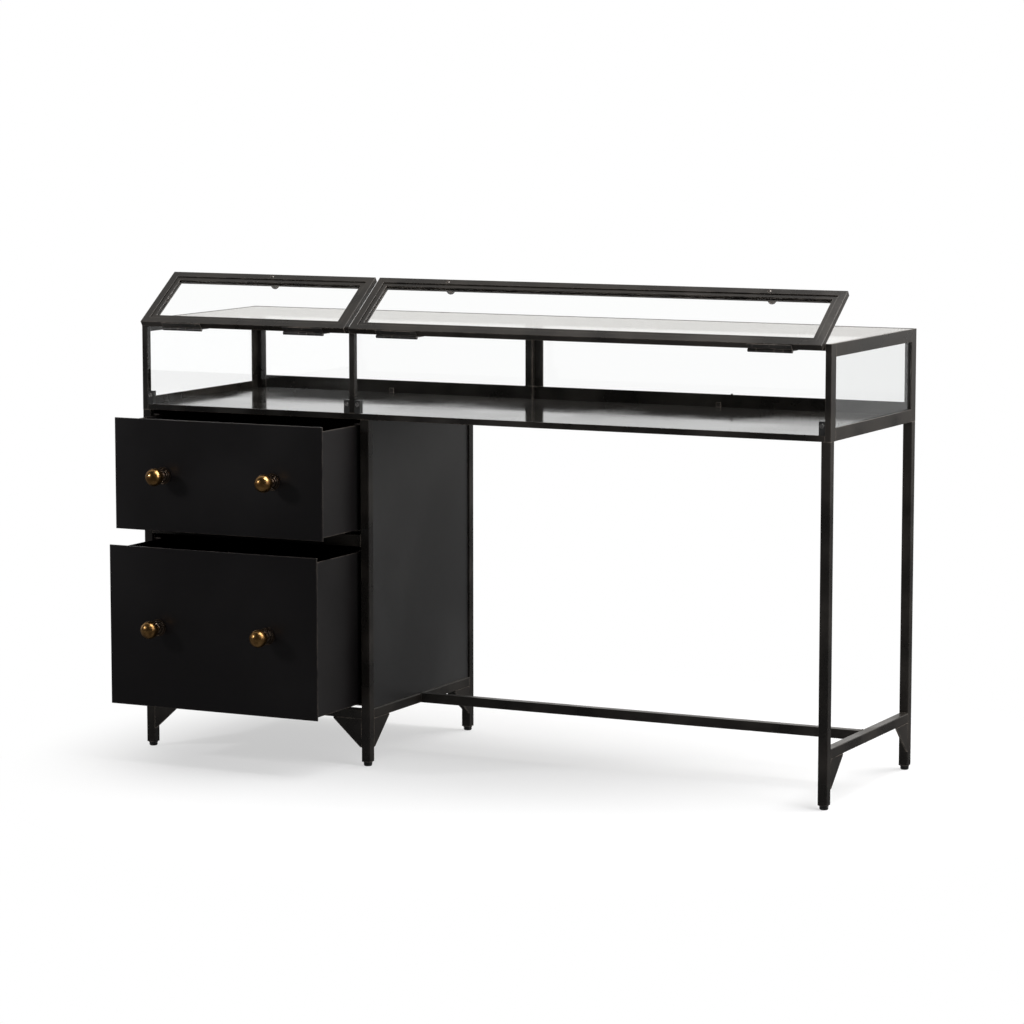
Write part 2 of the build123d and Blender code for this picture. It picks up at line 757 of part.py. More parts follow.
def rosette_outline():
    """A round plate with two turned rings and a hole for the screw."""
    bore = screw_radius + screw_clearance
    rim = rosette_thickness / 2
    step = rosette_radius / 6
    Polyline(
        (bore, 0),
        (rosette_radius, 0),
        (rosette_radius, rim),
        (rosette_radius - step, rim),
        (rosette_radius - step, rim + rim / 2),
        (rosette_radius - 2 * step, rim + rim / 2),
        (rosette_radius - 2 * step, rosette_thickness),
        (bore, rosette_thickness),
        close=True,
    )


def drawer_pieces(prefix, front, pull):
    """Front, box of five welded plates, knobs, rosettes and screws of one drawer, pulled out."""
    face = y_front - pull
    plate_y = (face, face + front_sheet)
    box_y = (plate_y[1], plate_y[1] + box_length)
    box_z = (front[0] + box_lift, front[1] - box_drop)
    knob_points = [(x, middle(front)) for x in knob_xs]
    screw_holes = round_pins(knob_points, (face, box_y[0] + box_sheet), screw_radius + screw_clearance)

    with BuildPart() as plate:
        add(slab(front_x, plate_y, front).part)
        fillet(plate.edges().group_by(Axis.Y)[0], radius=arris)
        add(screw_holes.part, mode=Mode.SUBTRACT)
    save(plate, f"{prefix}_drawer_front")

    floor_z = (box_z[0], box_z[0] + box_sheet)
    wall_z = (floor_z[1] + box_seam, box_z[1])
    between_sides = (box_x[0] + box_sheet + box_seam, box_x[1] - box_sheet - box_seam)
    with BuildPart() as box:
        add(slab(box_x, box_y, floor_z).part)
        for side_x in ((box_x[0], box_x[0] + box_sheet), (box_x[1] - box_sheet, box_x[1])):
            add(slab(side_x, box_y, wall_z).part)
        for end_y in ((box_y[0], box_y[0] + box_sheet), (box_y[1] - box_sheet, box_y[1])):
            add(slab(between_sides, end_y, wall_z).part)
        add(screw_holes.part, mode=Mode.SUBTRACT)
    save(box, f"{prefix}_drawer_box")

    with BuildPart() as rosettes:
        for x, z in knob_points:
            add(turned_knob(Vector(x, face, z), Vector(0, -1, 0), rosette_outline).part)
    save(rosettes, f"{prefix}_drawer_rosettes")

    with BuildPart() as knobs:
        for x, z in knob_points:
            foot = Vector(x, face - rosette_thickness, z)
            add(turned_knob(foot, Vector(0, -1, 0), drawer_knob_outline).part)
    save(knobs, f"{prefix}_drawer_knobs")

    head_seat = plate_y[1] + box_sheet
    tip = face - rosette_thickness - screw_grip
    with BuildPart() as screws:
        add(round_pins(knob_points, (tip, head_seat), screw_radius).part)
        add(round_pins(knob_points, (head_seat, head_seat + screw_head_height), screw_head_radius).part)
    save(screws, f"{prefix}_drawer_screws")


drawer_pieces("upper", upper_front, upper_pull)
drawer_pieces("lower", lower_front, lower_pull)

print("flap hinge line", round(pin_y, 3), round(pin_z, 3))
print("flap opened by", round(180 + degrees(flap_lean), 3))
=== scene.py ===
import json
import math
import random

import bpy
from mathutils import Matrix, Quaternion, Vector


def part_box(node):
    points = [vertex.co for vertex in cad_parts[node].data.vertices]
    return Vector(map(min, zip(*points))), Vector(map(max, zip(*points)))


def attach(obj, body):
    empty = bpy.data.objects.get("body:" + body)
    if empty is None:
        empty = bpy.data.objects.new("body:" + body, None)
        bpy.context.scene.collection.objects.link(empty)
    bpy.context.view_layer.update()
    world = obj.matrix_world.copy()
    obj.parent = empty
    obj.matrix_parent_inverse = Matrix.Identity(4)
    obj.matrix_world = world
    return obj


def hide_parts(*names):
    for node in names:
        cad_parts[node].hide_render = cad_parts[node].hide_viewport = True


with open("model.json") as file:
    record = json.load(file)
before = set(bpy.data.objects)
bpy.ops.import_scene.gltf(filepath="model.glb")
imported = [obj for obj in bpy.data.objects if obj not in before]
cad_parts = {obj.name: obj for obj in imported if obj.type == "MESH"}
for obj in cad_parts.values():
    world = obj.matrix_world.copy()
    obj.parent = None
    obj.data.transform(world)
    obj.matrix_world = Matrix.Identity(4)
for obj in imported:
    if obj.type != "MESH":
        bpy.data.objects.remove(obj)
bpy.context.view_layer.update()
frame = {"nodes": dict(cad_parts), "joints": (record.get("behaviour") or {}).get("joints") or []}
nodes = frame["nodes"]


# The room. A pale floor that fades into a white backdrop, a big soft lamp overhead,
# a tall lamp at the open end and a small one in front. None of it is part of the desk.
floor_radius = 12.0
floor_sides = 96
floor_fade_start, floor_fade_end = 0.74, 1.14
floor_fade_middle = (0.12, 0.05, 0)
glow_under_desk = 0.55
floor_colour = (0.86, 0.86, 0.865, 1)
floor_seen_in_gloss = (0.12, 0.12, 0.12, 1)
backdrop_white = (1.0, 1.0, 1.0, 1)
front_of_room = (0.035, 0.035, 0.036, 1)
back_of_room = (0.92, 0.90, 0.87, 1)
front_ends, back_begins = -0.25, 0.45

bpy.context.scene.view_settings.view_transform = "Standard"
bpy.ops.object.select_all(action="DESELECT")
bpy.ops.mesh.primitive_circle_add(vertices=floor_sides, radius=floor_radius, fill_type="NGON")
floor = bpy.context.object
floor.name = "floor"

floor_paint = bpy.data.materials.new("pale floor")
floor_paint.use_nodes = True
tree = floor_paint.node_tree
tree.nodes.clear()
output = tree.nodes.new("ShaderNodeOutputMaterial")
place = tree.nodes.new("ShaderNodeTexCoord")
from_middle = tree.nodes.new("ShaderNodeVectorMath")
from_middle.operation = "DISTANCE"
from_middle.inputs[1].default_value = floor_fade_middle
tree.links.new(place.outputs["Object"], from_middle.inputs[0])
fade = tree.nodes.new("ShaderNodeMapRange")
fade.interpolation_type = "SMOOTHSTEP"
fade.inputs["From Min"].default_value = floor_fade_start
fade.inputs["From Max"].default_value = floor_fade_end
fade.inputs["To Min"].default_value = glow_under_desk
tree.links.new(from_middle.outputs["Value"], fade.inputs["Value"])
matt = tree.nodes.new("ShaderNodeBsdfDiffuse")
matt.inputs["Color"].default_value = floor_colour
bright = tree.nodes.new("ShaderNodeEmission")
bright.inputs["Color"].default_value = backdrop_white
near_or_far = tree.nodes.new("ShaderNodeMixShader")
tree.links.new(fade.outputs["Result"], near_or_far.inputs["Fac"])
tree.links.new(matt.outputs["BSDF"], near_or_far.inputs[1])
tree.links.new(bright.outputs["Emission"], near_or_far.inputs[2])
dim = tree.nodes.new("ShaderNodeEmission")
dim.inputs["Color"].default_value = floor_seen_in_gloss
rays = tree.nodes.new("ShaderNodeLightPath")
mirrored = tree.nodes.new("ShaderNodeMath")
mirrored.operation = "GREATER_THAN"
tree.links.new(rays.outputs["Is Glossy Ray"], mirrored.inputs[0])
tree.links.new(rays.outputs["Is Transmission Ray"], mirrored.inputs[1])
in_gloss = tree.nodes.new("ShaderNodeMixShader")
tree.links.new(mirrored.outputs["Value"], in_gloss.inputs["Fac"])
tree.links.new(near_or_far.outputs["Shader"], in_gloss.inputs[1])
tree.links.new(dim.outputs["Emission"], in_gloss.inputs[2])
tree.links.new(in_gloss.outputs["Shader"], output.inputs["Surface"])
floor.data.materials.append(floor_paint)

room = bpy.data.worlds.new("room")
bpy.context.scene.world = room
room.use_nodes = True
tree = room.node_tree
tree.nodes.clear()
output = tree.nodes.new("ShaderNodeOutputWorld")
place = tree.nodes.new("ShaderNodeTexCoord")
split = tree.nodes.new("ShaderNodeSeparateXYZ")
tree.links.new(place.outputs["Generated"], split.inputs["Vector"])
front_to_back = tree.nodes.new("ShaderNodeMapRange")
front_to_back.interpolation_type = "SMOOTHSTEP"
front_to_back.inputs["From Min"].default_value = front_ends
front_to_back.inputs["From Max"].default_value = back_begins
tree.links.new(split.outputs["Y"], front_to_back.inputs["Value"])
room_colour = tree.nodes.new("ShaderNodeMix")
room_colour.data_type = "RGBA"
room_colour.inputs["A"].default_value = front_of_room
room_colour.inputs["B"].default_value = back_of_room
tree.links.new(front_to_back.outputs["Result"], room_colour.inputs["Factor"])
rays = tree.nodes.new("ShaderNodeLightPath")
direct_or_glass = tree.nodes.new("ShaderNodeMath")
direct_or_glass.operation = "MAXIMUM"
tree.links.new(rays.outputs["Is Camera Ray"], direct_or_glass.inputs[0])
tree.links.new(rays.outputs["Is Transmission Ray"], direct_or_glass.inputs[1])
seen_direct = tree.nodes.new("ShaderNodeMix")
seen_direct.data_type = "RGBA"
seen_direct.inputs["B"].default_value = backdrop_white
tree.links.new(direct_or_glass.outputs["Value"], seen_direct.inputs["Factor"])
tree.links.new(room_colour.outputs["Result"], seen_direct.inputs["A"])
surround = tree.nodes.new("ShaderNodeBackground")
tree.links.new(seen_direct.outputs["Result"], surround.inputs["Color"])
tree.links.new(surround.outputs["Background"], output.inputs["Surface"])


def soft_lamp(name, place, aim, width, height, watts):
    """A rectangular soft lamp that looks at a point."""
    bpy.ops.object.light_add(type="AREA", location=place)
    lamp = bpy.context.object
    lamp.name = name
    lamp.data.shape = "RECTANGLE"
    lamp.data.size = width
    lamp.data.size_y = height
    lamp.data.energy = watts
    lamp.rotation_euler = (Vector(aim) - Vector(place)).to_track_quat("-Z", "Y").to_euler()


soft_lamp("overhead lamp", (1.5, 0.3, 3.2), aim=(0.2, 0, 0), width=2.2, height=2.8, watts=150)
soft_lamp("end lamp", (3.2, -0.7, 1.9), aim=(0.3, 0.1, 0.5), width=1.2, height=2.0, watts=24)
soft_lamp("front lamp", (-2.4, -2.2, 1.7), aim=(-0.4, -0.3, 0.4), width=0.35, height=0.35, watts=27)


# The camera stands in front of the desk and well to its right, a little above the top,
# with a long lens, so that the uprights stay upright and the far end is hardly smaller.
camera_place = (3.1557, -6.3384, 1.3813)
camera_turn = 0.458
camera_dip = 0.122
sensor_width = 36.0
lens_length = 126.31

level = math.pi / 2
bpy.ops.object.camera_add(location=camera_place, rotation=(level - camera_dip, 0, camera_turn))
camera = bpy.context.object
camera.name = "camera"
camera.data.sensor_width = sensor_width
camera.data.lens = lens_length
bpy.context.scene.camera = camera


# Frame steel: square tube and angle, welded, ground flush and lacquered black. The lacquer
# is thin, so it clouds a little over the mill skin. Along the arrises it turns a lighter brown,
# partly rubbed wear and partly a painted highlight where the edges catch the light.
frame_black = (0.0088, 0.0076, 0.0066, 1)
frame_cloud = (0.0230, 0.0195, 0.0164, 1)
worn_and_highlit_brown = (0.185, 0.155, 0.130, 1)
wear_and_highlight_width = 0.0026
arris_samples = 6
arris_bend = (0.02, 0.22)
missed_scale, missed_detail, missed_range = 34.0, 5.0, (0.32, 0.58)
cloud_detail, cloud_range = 4.0, (0.35, 0.68)
skin_scale, skin_detail = 420.0, 3.0
wave_detail = 1.0


def new_group(name, inputs, outputs):
    """An empty shader group with float inputs and float outputs."""
    group = bpy.data.node_groups.new(name, "ShaderNodeTree")
    for label, start in inputs:
        socket = group.interface.new_socket(label, in_out="INPUT", socket_type="NodeSocketFloat")
        socket.default_value = start
    for label in outputs:
        group.interface.new_socket(label, in_out="OUTPUT", socket_type="NodeSocketFloat")
    return group, group.nodes.new("NodeGroupInput"), group.nodes.new("NodeGroupOutput")


def math_node(tree, operation, first, second):
    """A maths node; each side is a number or a socket."""
    node = tree.nodes.new("ShaderNodeMath")
    node.operation = operation
    for socket, value in zip(node.inputs, (first, second)):
        if isinstance(value, (int, float)):
            socket.default_value = value
        else:
            tree.links.new(value, socket)
    return node.outputs["Value"]


def ranged(tree, value, low, high, new_low=0.0, new_high=1.0):
    """A value taken smoothly from one range to another."""
    node = tree.nodes.new("ShaderNodeMapRange")
    node.interpolation_type = "SMOOTHSTEP"
    tree.links.new(value, node.inputs["Value"])
    node.inputs["From Min"].default_value = low
    node.inputs["From Max"].default_value = high
    node.inputs["To Min"].default_value = new_low
    node.inputs["To Max"].default_value = new_high
    return node.outputs["Result"]


def noise_on(tree, scale, detail, stretch=(1, 1, 1)):
    """Noise in the desk's own coordinates, per metre."""
    place = tree.nodes.new("ShaderNodeTexCoord")
    turn = tree.nodes.new("ShaderNodeMapping")
    turn.inputs["Scale"].default_value = stretch
    tree.links.new(place.outputs["Object"], turn.inputs["Vector"])
    noise = tree.nodes.new("ShaderNodeTexNoise")
    if isinstance(scale, (int, float)):
        noise.inputs["Scale"].default_value = scale
    else:
        tree.links.new(scale, noise.inputs["Scale"])
    noise.inputs["Detail"].default_value = detail
    tree.links.new(turn.outputs["Vector"], noise.inputs["Vector"])
    return noise.outputs["Fac"]


# edge wear and painted highlight: 0 on flats, 1 on an arris, broken up where hands and boxes have missed
# it. The lighter brown it brings is partly rubbed wear and partly a painted highlight.
edge_wear_and_highlight, given, result = new_group("edge wear and highlight", [("Width", wear_and_highlight_width), ("Cover", 0.5)], ["Mask"])
rounded = edge_wear_and_highlight.nodes.new("ShaderNodeBevel")
rounded.samples = arris_samples
edge_wear_and_highlight.links.new(given.outputs["Width"], rounded.inputs["Radius"])
flat = edge_wear_and_highlight.nodes.new("ShaderNodeNewGeometry")
agree = edge_wear_and_highlight.nodes.new("ShaderNodeVectorMath")
agree.operation = "DOT_PRODUCT"
edge_wear_and_highlight.links.new(rounded.outputs["Normal"], agree.inputs[0])
edge_wear_and_highlight.links.new(flat.outputs["Normal"], agree.inputs[1])
bend = math_node(edge_wear_and_highlight, "SUBTRACT", 1.0, agree.outputs["Value"])
on_edge = ranged(edge_wear_and_highlight, bend, *arris_bend)
patches = ranged(edge_wear_and_highlight, noise_on(edge_wear_and_highlight, missed_scale, missed_detail), *missed_range)
kept = math_node(edge_wear_and_highlight, "MULTIPLY", on_edge, patches)
covered = math_node(edge_wear_and_highlight, "MULTIPLY", kept, given.outputs["Cover"])
edge_wear_and_highlight.links.new(covered, result.inputs["Mask"])

# thin lacquer: clouds a hand wide, and a fine skin that follows the rolled steel
thin_lacquer, given, result = new_group("thin lacquer", [("Cloud size", 5.0)], ["Cloud", "Skin"])
mottle = noise_on(thin_lacquer, given.outputs["Cloud size"], cloud_detail)
cloud = ranged(thin_lacquer, mottle, *cloud_range)
thin_lacquer.links.new(cloud, result.inputs["Cloud"])
thin_lacquer.links.new(noise_on(thin_lacquer, skin_scale, skin_detail), result.inputs["Skin"])


def painted(name, dark, light, cloud_size, gloss, skin_depth, wear_and_highlight_cover, sheen_level=0.5, wave=None):
    """Black lacquer on steel. gloss is (smoothest, roughest); wave is (scale, depth) of uneven sheet."""
    material = bpy.data.materials.new(name)
    material.use_nodes = True
    tree = material.node_tree
    shader = tree.nodes["Principled BSDF"]
    shader.inputs["Specular IOR Level"].default_value = sheen_level
    lacquer = tree.nodes.new("ShaderNodeGroup")
    lacquer.node_tree = thin_lacquer
    lacquer.inputs["Cloud size"].default_value = cloud_size
    wear = tree.nodes.new("ShaderNodeGroup")
    wear.node_tree = edge_wear_and_highlight
    wear.inputs["Width"].default_value = wear_and_highlight_width
    wear.inputs["Cover"].default_value = wear_and_highlight_cover
    body = tree.nodes.new("ShaderNodeMix")
    body.data_type = "RGBA"
    body.inputs["A"].default_value = dark
    body.inputs["B"].default_value = light
    tree.links.new(lacquer.outputs["Cloud"], body.inputs["Factor"])
    # painted highlight: the arrises go lighter brown, partly rubbed wear and partly painted light caught on
    # the edges
    worn_and_highlit = tree.nodes.new("ShaderNodeMix")
    worn_and_highlit.data_type = "RGBA"
    worn_and_highlit.inputs["B"].default_value = worn_and_highlit_brown
    tree.links.new(wear.outputs["Mask"], worn_and_highlit.inputs["Factor"])
    tree.links.new(body.outputs["Result"], worn_and_highlit.inputs["A"])
    tree.links.new(worn_and_highlit.outputs["Result"], shader.inputs["Base Color"])
    tree.links.new(ranged(tree, lacquer.outputs["Cloud"], 0.0, 1.0, *gloss), shader.inputs["Roughness"])
    skin = tree.nodes.new("ShaderNodeBump")
    skin.inputs["Distance"].default_value = skin_depth
    tree.links.new(lacquer.outputs["Skin"], skin.inputs["Height"])
    if wave:
        wave_scale, wave_depth = wave
        sheet = tree.nodes.new("ShaderNodeBump")
        sheet.name = "uneven sheet"
        sheet.inputs["Distance"].default_value = wave_depth
        tree.links.new(noise_on(tree, wave_scale, wave_detail), sheet.inputs["Height"])
        tree.links.new(sheet.outputs["Normal"], skin.inputs["Normal"])
    tree.links.new(skin.outputs["Normal"], shader.inputs["Normal"])
    return material


def finish(material, *names):
    """CAD nodes keep their shape and take this material."""
    for name in names:
        nodes[name].data.materials.clear()
        nodes[name].data.materials.append(material)


frame_steel = painted(
    "frame steel", frame_black, frame_cloud, cloud_size=10.0, gloss=(0.27, 0.40), skin_depth=0.00005,
    wear_and_highlight_cover=0.9, sheen_level=0.32,
)
finish(
    frame_steel,
    "leg_front_left", "leg_rear_left", "leg_cabinet_front", "leg_cabinet_rear", "leg_front_right",
    "leg_rear_right", "leg_gussets", "end_stretcher", "long_stretcher", "cabinet_mid_rail",
    "cabinet_front_bottom_rail", "cabinet_rear_bottom_rail", "cabinet_side_bottom_rails",
    "deck_front_rail", "deck_rear_rail", "deck_side_rails",
)

# Feet: black nylon glides pressed into the ends of the legs, each a low turned cap with a
# groove under its rim and a slightly crowned sole.
foot_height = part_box("leg_front_left")[0].z
foot_sides = 40
merge_distance = 0.000004
scuff_scale, scuff_range = 90.0, (0.45, 0.75)
scuff_lightens, scuff_roughens = 2.2, 0.15
mould_grain_scale = 1600.0
foot_outline = [
    (0.0040, 0.0000),
    (0.0068, 0.0002),
    (0.0078, 0.0010),
    (0.0084, 0.0022),
    (0.0086, 0.0048),
    (0.0080, 0.0054),
    (0.0080, 0.0062),
    (0.0090, 0.0067),
    (0.0093, 0.0076),
    (0.0093, foot_height - 0.0002),
]


def deselect_all():
    """Nothing selected, so that the next operator works on the new piece alone."""
    bpy.ops.object.select_all(action="DESELECT")
    bpy.context.view_layer.objects.active = None


def settled(piece, name, smooth_angle=35):
    """Names a piece, puts its place into its mesh, turns its faces outwards and smooths its rounds."""
    deselect_all()
    piece.name = name
    piece.data.name = name
    piece.select_set(True)
    bpy.context.view_layer.objects.active = piece
    bpy.ops.object.transform_apply(location=True, rotation=True, scale=True)
    bpy.ops.object.mode_set(mode="EDIT")
    bpy.ops.mesh.select_all(action="SELECT")
    bpy.ops.mesh.remove_doubles(threshold=merge_distance)
    bpy.ops.mesh.normals_make_consistent(inside=False)
    bpy.ops.object.mode_set(mode="OBJECT")
    bpy.ops.object.shade_smooth_by_angle(angle=math.radians(smooth_angle))
    return piece


def joined(pieces):
    """Several pieces made into one object."""
    deselect_all()
    for piece in pieces:
        piece.select_set(True)
    bpy.context.view_layer.objects.active = pieces[0]
    if len(pieces) > 1:
        bpy.ops.object.join()
    return bpy.context.object


def turned(foot, axis, outline, sides=48):
    """A turned piece, drawn out ring by ring from a disc. outline lists (radius, height above the foot)."""
    deselect_all()
    axis = Vector(axis).normalized()
    radius, height = outline[0]
    bpy.ops.mesh.primitive_circle_add(
        vertices=sides, radius=radius, fill_type="NGON",
        location=Vector(foot) + axis * height, rotation=axis.to_track_quat("Z", "Y").to_euler(),
    )
    bpy.ops.object.mode_set(mode="EDIT")
    bpy.ops.mesh.select_all(action="SELECT")
    for next_radius, next_height in outline[1:]:
        bpy.ops.mesh.extrude_region_move(TRANSFORM_OT_translate={"value": axis * (next_height - height)})
        ratio = next_radius / radius
        middle = Vector(foot) + axis * next_height
        bpy.ops.transform.resize(value=(ratio, ratio, ratio), center_override=middle)
        radius, height = next_radius, next_height
    bpy.ops.object.mode_set(mode="OBJECT")
    return bpy.context.object


def moulded_plastic(name, colour, roughness, grain_depth):
    """Matt plastic with the fine grain of its mould and a few scuffs."""
    material = bpy.data.materials.new(name)
    material.use_nodes = True
    tree = material.node_tree
    shader = tree.nodes["Principled BSDF"]
    scuff = ranged(tree, noise_on(tree, scuff_scale, 4.0), *scuff_range)
    shade = tree.nodes.new("ShaderNodeMix")
    shade.data_type = "RGBA"
    shade.inputs["A"].default_value = colour
    shade.inputs["B"].default_value = [scuff_lightens * part for part in colour[:3]] + [1]
    tree.links.new(scuff, shade.inputs["Factor"])
    tree.links.new(shade.outputs["Result"], shader.inputs["Base Color"])
    dullness = ranged(tree, scuff, 0.0, 1.0, roughness, roughness + scuff_roughens)
    tree.links.new(dullness, shader.inputs["Roughness"])
    grain = tree.nodes.new("ShaderNodeBump")
    grain.inputs["Distance"].default_value = grain_depth
    tree.links.new(noise_on(tree, mould_grain_scale, 2.0), grain.inputs["Height"])
    tree.links.new(grain.outputs["Normal"], shader.inputs["Normal"])
    return material


nylon_black = (0.010, 0.010, 0.010, 1)
glide_nylon = moulded_plastic("glide nylon", nylon_black, roughness=0.42, grain_depth=0.00003)
feet = []
for leg in ("front_left", "rear_left", "cabinet_front", "cabinet_rear", "front_right", "rear_right"):
    low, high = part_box("leg_" + leg)
    foot = ((low.x + high.x) / 2, (low.y + high.y) / 2, 0)
    feet.append(turned(foot, (0, 0, 1), foot_outline, foot_sides))
glides = settled(joined(feet), "foot_glides")
glides.data.materials.append(glide_nylon)
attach(glides, "frame")
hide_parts("leg_glides")


# Welds: short runs where stretchers, rails and posts meet the uprights. Each run is a row of
# overlapping puddles, melted into one another and lacquered over with the frame.
puddle_pitch = 0.0016
puddle_size = (0.0017, 0.0013, 0.0013)
puddle_swell, swell_per_step, swell_per_metre = 0.12, 2.1, 40
weld_voxel = 0.00045
weld_stop = 0.002


def weld_run(start, end):
    """A row of puddles from one point to another."""
    start, end = Vector(start), Vector(end)
    run = end - start
    count = max(2, round(run.length / puddle_pitch))
    facing = run.to_track_quat("X", "Z").to_euler()
    puddles = []
    for step in range(count + 1):
        deselect_all()
        swell = 1 + puddle_swell * math.sin(swell_per_step * step + start.x * swell_per_metre)
        bpy.ops.mesh.primitive_uv_sphere_add(
            segments=10, ring_count=6, radius=1, scale=[side * swell for side in puddle_size],
            location=start + run * step / count, rotation=facing,
        )
        puddles.append(bpy.context.object)
    return joined(puddles)


def welded(runs, name):
    """Several runs melted into one piece of frame steel."""
    piece = joined([weld_run(start, end) for start, end in runs])
    melt = piece.modifiers.new("melt", "REMESH")
    melt.mode = "VOXEL"
    melt.voxel_size = weld_voxel
    bpy.ops.object.modifier_apply(modifier=melt.name)
    ease = piece.modifiers.new("ease", "SMOOTH")
    ease.iterations = 2
    bpy.ops.object.modifier_apply(modifier=ease.name)
    settled(piece, name, 180)
    piece.data.materials.clear()
    piece.data.materials.append(frame_steel)
    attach(piece, "frame")
    return piece


end_low, end_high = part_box("end_stretcher")
long_low, long_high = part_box("long_stretcher")
stretcher_runs = []
for y in (end_low.y, end_high.y):
    bottom, top = end_low.z + weld_stop, end_high.z - weld_stop
    stretcher_runs.append(((end_low.x, y, bottom), (end_low.x, y, top)))
    stretcher_runs.append(((end_low.x + weld_stop, y, end_high.z), (end_high.x - weld_stop, y, end_high.z)))
for x in (long_low.x, long_high.x):
    front, back = long_low.y + weld_stop, long_high.y - weld_stop
    bottom, top = long_low.z + weld_stop, long_high.z - weld_stop
    stretcher_runs.append(((x, front, long_high.z), (x, back, long_high.z)))
    stretcher_runs.append(((x, long_low.y, bottom), (x, long_low.y, top)))
    stretcher_runs.append(((x, long_high.y, bottom), (x, long_high.y, top)))
welded(stretcher_runs, "stretcher_welds")


# Spatter: drops of weld metal that stuck around the foot of the rear middle post and were
# lacquered over.
spatter_count = 26
spatter_spread = 0.016
spatter_sizes = (0.0004, 0.0011)
spatter_clearance = 0.002
large_drop = 0.0024
large_drop_x = 0.359
large_drop_inset = 0.0015
post_flange = 0.003
post_web_half = 0.0016
post_run_height = 0.0004
post_run_stop = 0.001

post_low, post_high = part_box("case_rear_middle_post")
rail_low, rail_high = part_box("deck_rear_rail")
stem_x = (post_low.x + post_high.x) / 2
post_face = post_high.y - post_flange
scatter = random.Random(7)
drops = []
for count in range(spatter_count):
    deselect_all()
    side = scatter.choice((-1, 1))
    x = stem_x + side * scatter.uniform(spatter_clearance, spatter_spread)
    size = scatter.uniform(*spatter_sizes)
    if count % 2:
        at = (x, post_face, post_low.z + scatter.uniform(post_run_stop, spatter_spread))
    else:
        at = (x, scatter.uniform(rail_low.y + spatter_clearance, post_face), rail_high.z)
    bpy.ops.mesh.primitive_ico_sphere_add(subdivisions=2, radius=size, location=at)
    drops.append(bpy.context.object)
deselect_all()
large_drop_place = (large_drop_x, rail_high.y - large_drop_inset, rail_high.z)
bpy.ops.mesh.primitive_ico_sphere_add(subdivisions=3, radius=large_drop, location=large_drop_place)
drops.append(bpy.context.object)
foot_z = rail_high.z + post_run_height
front, back = post_low.y + post_run_stop, post_face - post_run_stop
post_runs = [
    ((stem_x - post_web_half, front, foot_z), (stem_x - post_web_half, back, foot_z)),
    ((stem_x + post_web_half, front, foot_z), (stem_x + post_web_half, back, foot_z)),
    ((post_low.x + post_run_stop, post_face, foot_z), (stem_x - weld_stop, post_face, foot_z)),
    ((stem_x + weld_stop, post_face, foot_z), (post_high.x - post_run_stop, post_face, foot_z)),
]
spatter = settled(joined(drops), "weld_spatter", 180)
spatter.data.materials.append(frame_steel)
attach(spatter, "frame")
welded(post_runs, "rear_post_welds")


# Cabinet: thin sheet panels set just behind the faces of the legs and welded all round. The
# sheet is a little wavy, and its colour is set greyer than the frame's: a painted sheen for the
# light that slides along it.
# painted sheen: the panel colours are lighter than the frame's to stand in for the light along the sheet
panel_black = (0.0145, 0.0145, 0.0150, 1)
panel_cloud = (0.024, 0.024, 0.0245, 1)
panel_sheet = painted(
    "panel sheet", panel_black, panel_cloud, cloud_size=2.6, gloss=(0.36, 0.52), skin_depth=0.00005,
    wear_and_highlight_cover=0.5, wave=(3.0, 0.0022),
)
finish(panel_sheet, "cabinet_left_panel", "cabinet_right_panel", "cabinet_back_panel")


# Deck: a folded tray of dark lacquered sheet, polished until it mirrors the posts. The sheet
# isn't quite flat, and it curves up a little towards the rear rail, so the reflections bend.
deck_black = (0.012, 0.0112, 0.0105, 1)
deck_cloud = (0.022, 0.020, 0.018, 1)
deck_sheet = painted(
    "deck sheet", deck_black, deck_cloud, cloud_size=3.2, gloss=(0.06, 0.13), skin_depth=0.000006,
    wear_and_highlight_cover=0.3, sheen_level=0.42, wave=(1.7, 0.0012),
)
deck_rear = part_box("deck_tray")[1].y
lift_width = 0.24
lift_height = 0.0055
lift_wander = 0.16
lift_wander_scale = 2.3

tree = deck_sheet.node_tree
place = tree.nodes.new("ShaderNodeTexCoord")
split = tree.nodes.new("ShaderNodeSeparateXYZ")
tree.links.new(place.outputs["Object"], split.inputs["Vector"])
wander = math_node(tree, "MULTIPLY", noise_on(tree, lift_wander_scale, 0.0, stretch=(1, 0, 0)), lift_wander)
from_rear = math_node(tree, "SUBTRACT", deck_rear - lift_width + lift_wander / 2, wander)
along = math_node(tree, "SUBTRACT", split.outputs["Y"], from_rear)
share = math_node(tree, "MAXIMUM", math_node(tree, "DIVIDE", along, lift_width), 0.0)
lift = tree.nodes.new("ShaderNodeBump")
lift.inputs["Distance"].default_value = lift_height
tree.links.new(math_node(tree, "MULTIPLY", share, share), lift.inputs["Height"])
tree.links.new(lift.outputs["Normal"], tree.nodes["uneven sheet"].inputs["Normal"])
finish(deck_sheet, "deck_tray")


# Case: slim posts and rebated rails above the deck, of the same lacquered steel.
finish(
    frame_steel,
    "case_front_corner_posts", "case_rear_corner_posts", "case_front_middle_post",
    "case_rear_middle_post", "case_top_front_rail", "case_top_rear_rail", "case_top_side_rails",
    "glazing_clips",
)


# Glass: clear float panes with ground edges. The body is very slightly green, which shows
# only along the edges, and lamps shine through it.
glass_tint = (0.988, 0.994, 0.992, 1)
glass_index = 1.35
wipe_scale, wipe_range, wipe_roughness = 16.0, (0.45, 0.8), 0.035

